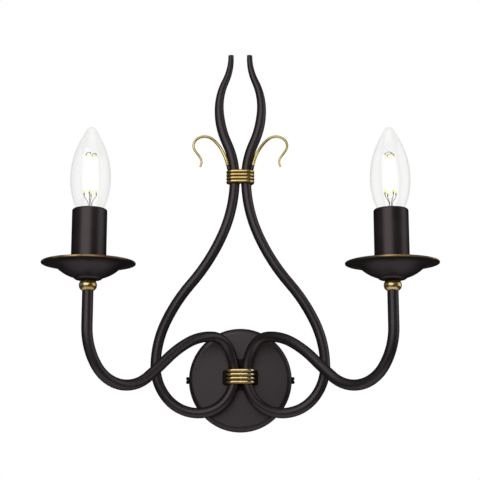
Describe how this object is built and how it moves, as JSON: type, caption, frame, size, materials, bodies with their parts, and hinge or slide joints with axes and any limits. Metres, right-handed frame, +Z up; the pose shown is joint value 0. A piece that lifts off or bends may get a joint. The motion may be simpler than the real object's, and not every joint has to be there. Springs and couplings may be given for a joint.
{
  "type": "double arm wall sconce",
  "caption": "Wall sconce in forged style: two bound tube arms on a round rose, each with a drip pan, candle sleeve and screw-in candle bulb.",
  "frame": {"origin": "centre of the wall rose, on the wall plane", "axes": "+Z up along the wall, +Y into the wall, so the sconce stands out towards -Y; +X to the right as seen from the room"},
  "size_m": [0.352, 0.1789, 0.3753],
  "materials": {
    "dark_paint": "satin",
    "black_paint": "satin",
    "black_screw": "satin",
    "zinc_steel": "brushed",
    "aged_brass": "satin",
    "brass_plain": "satin",
    "block_plastic": "matte",
    "holder_plastic": "matte",
    "sleeve_brown": "satin",
    "cap_metal": "satin",
    "insulator_glass": "gloss",
    "clear_glass": "clear",
    "filament_glow": "matte",
    "lead_sheath": "matte"
  },
  "bodies": {
    "sconce": {"arm_hub": "black_paint", "earth_screw": "brass_plain", "hub_screws": "zinc_steel", "left_arm": "dark_paint", "left_bead": "aged_brass", "left_candle_sleeve": "sleeve_brown", "left_centre_contact": "brass_plain", "left_curl": "aged_brass", "left_drip_pan": "dark_paint", "left_lamp_lead": "lead_sheath", "left_lampholder_body": "holder_plastic", "left_lampholder_bracket": "zinc_steel", "left_locknut": "zinc_steel", "left_nipple": "zinc_steel", "left_screw_shell": "brass_plain", "lower_wire_binding": "aged_brass", "right_arm": "dark_paint", "right_bead": "aged_brass", "right_candle_sleeve": "sleeve_brown", "right_centre_contact": "brass_plain", "right_curl": "aged_brass", "right_drip_pan": "dark_paint", "right_lamp_lead": "lead_sheath", "right_lampholder_body": "holder_plastic", "right_lampholder_bracket": "zinc_steel", "right_locknut": "zinc_steel", "right_nipple": "zinc_steel", "right_screw_shell": "brass_plain", "rose_side_screws": "black_screw", "terminal_block": "block_plastic", "terminal_clamp_screws": "brass_plain", "terminal_screw": "zinc_steel", "upper_wire_binding": "aged_brass", "wall_bracket": "zinc_steel", "wall_rose": "dark_paint"},
    "left_bulb": {"left_bulb_cap": "cap_metal", "left_bulb_insulator": "insulator_glass", "left_bulb_contact": "cap_metal", "left_bulb_glass": "clear_glass", "left_bulb_mount": "clear_glass", "left_bulb_filaments": "filament_glow"},
    "right_bulb": {"right_bulb_cap": "cap_metal", "right_bulb_insulator": "insulator_glass", "right_bulb_contact": "cap_metal", "right_bulb_glass": "clear_glass", "right_bulb_mount": "clear_glass", "right_bulb_filaments": "filament_glow"}
  },
  "joints": [
    {"name": "left_bulb_lift", "type": "slide", "parent": "sconce", "child": "left_bulb", "axis": [0, 0, 1], "range_m": [0, 0.04]},
    {"name": "right_bulb_lift", "type": "slide", "parent": "sconce", "child": "right_bulb", "axis": [0, 0, 1], "range_m": [0, 0.04]}
  ]
}
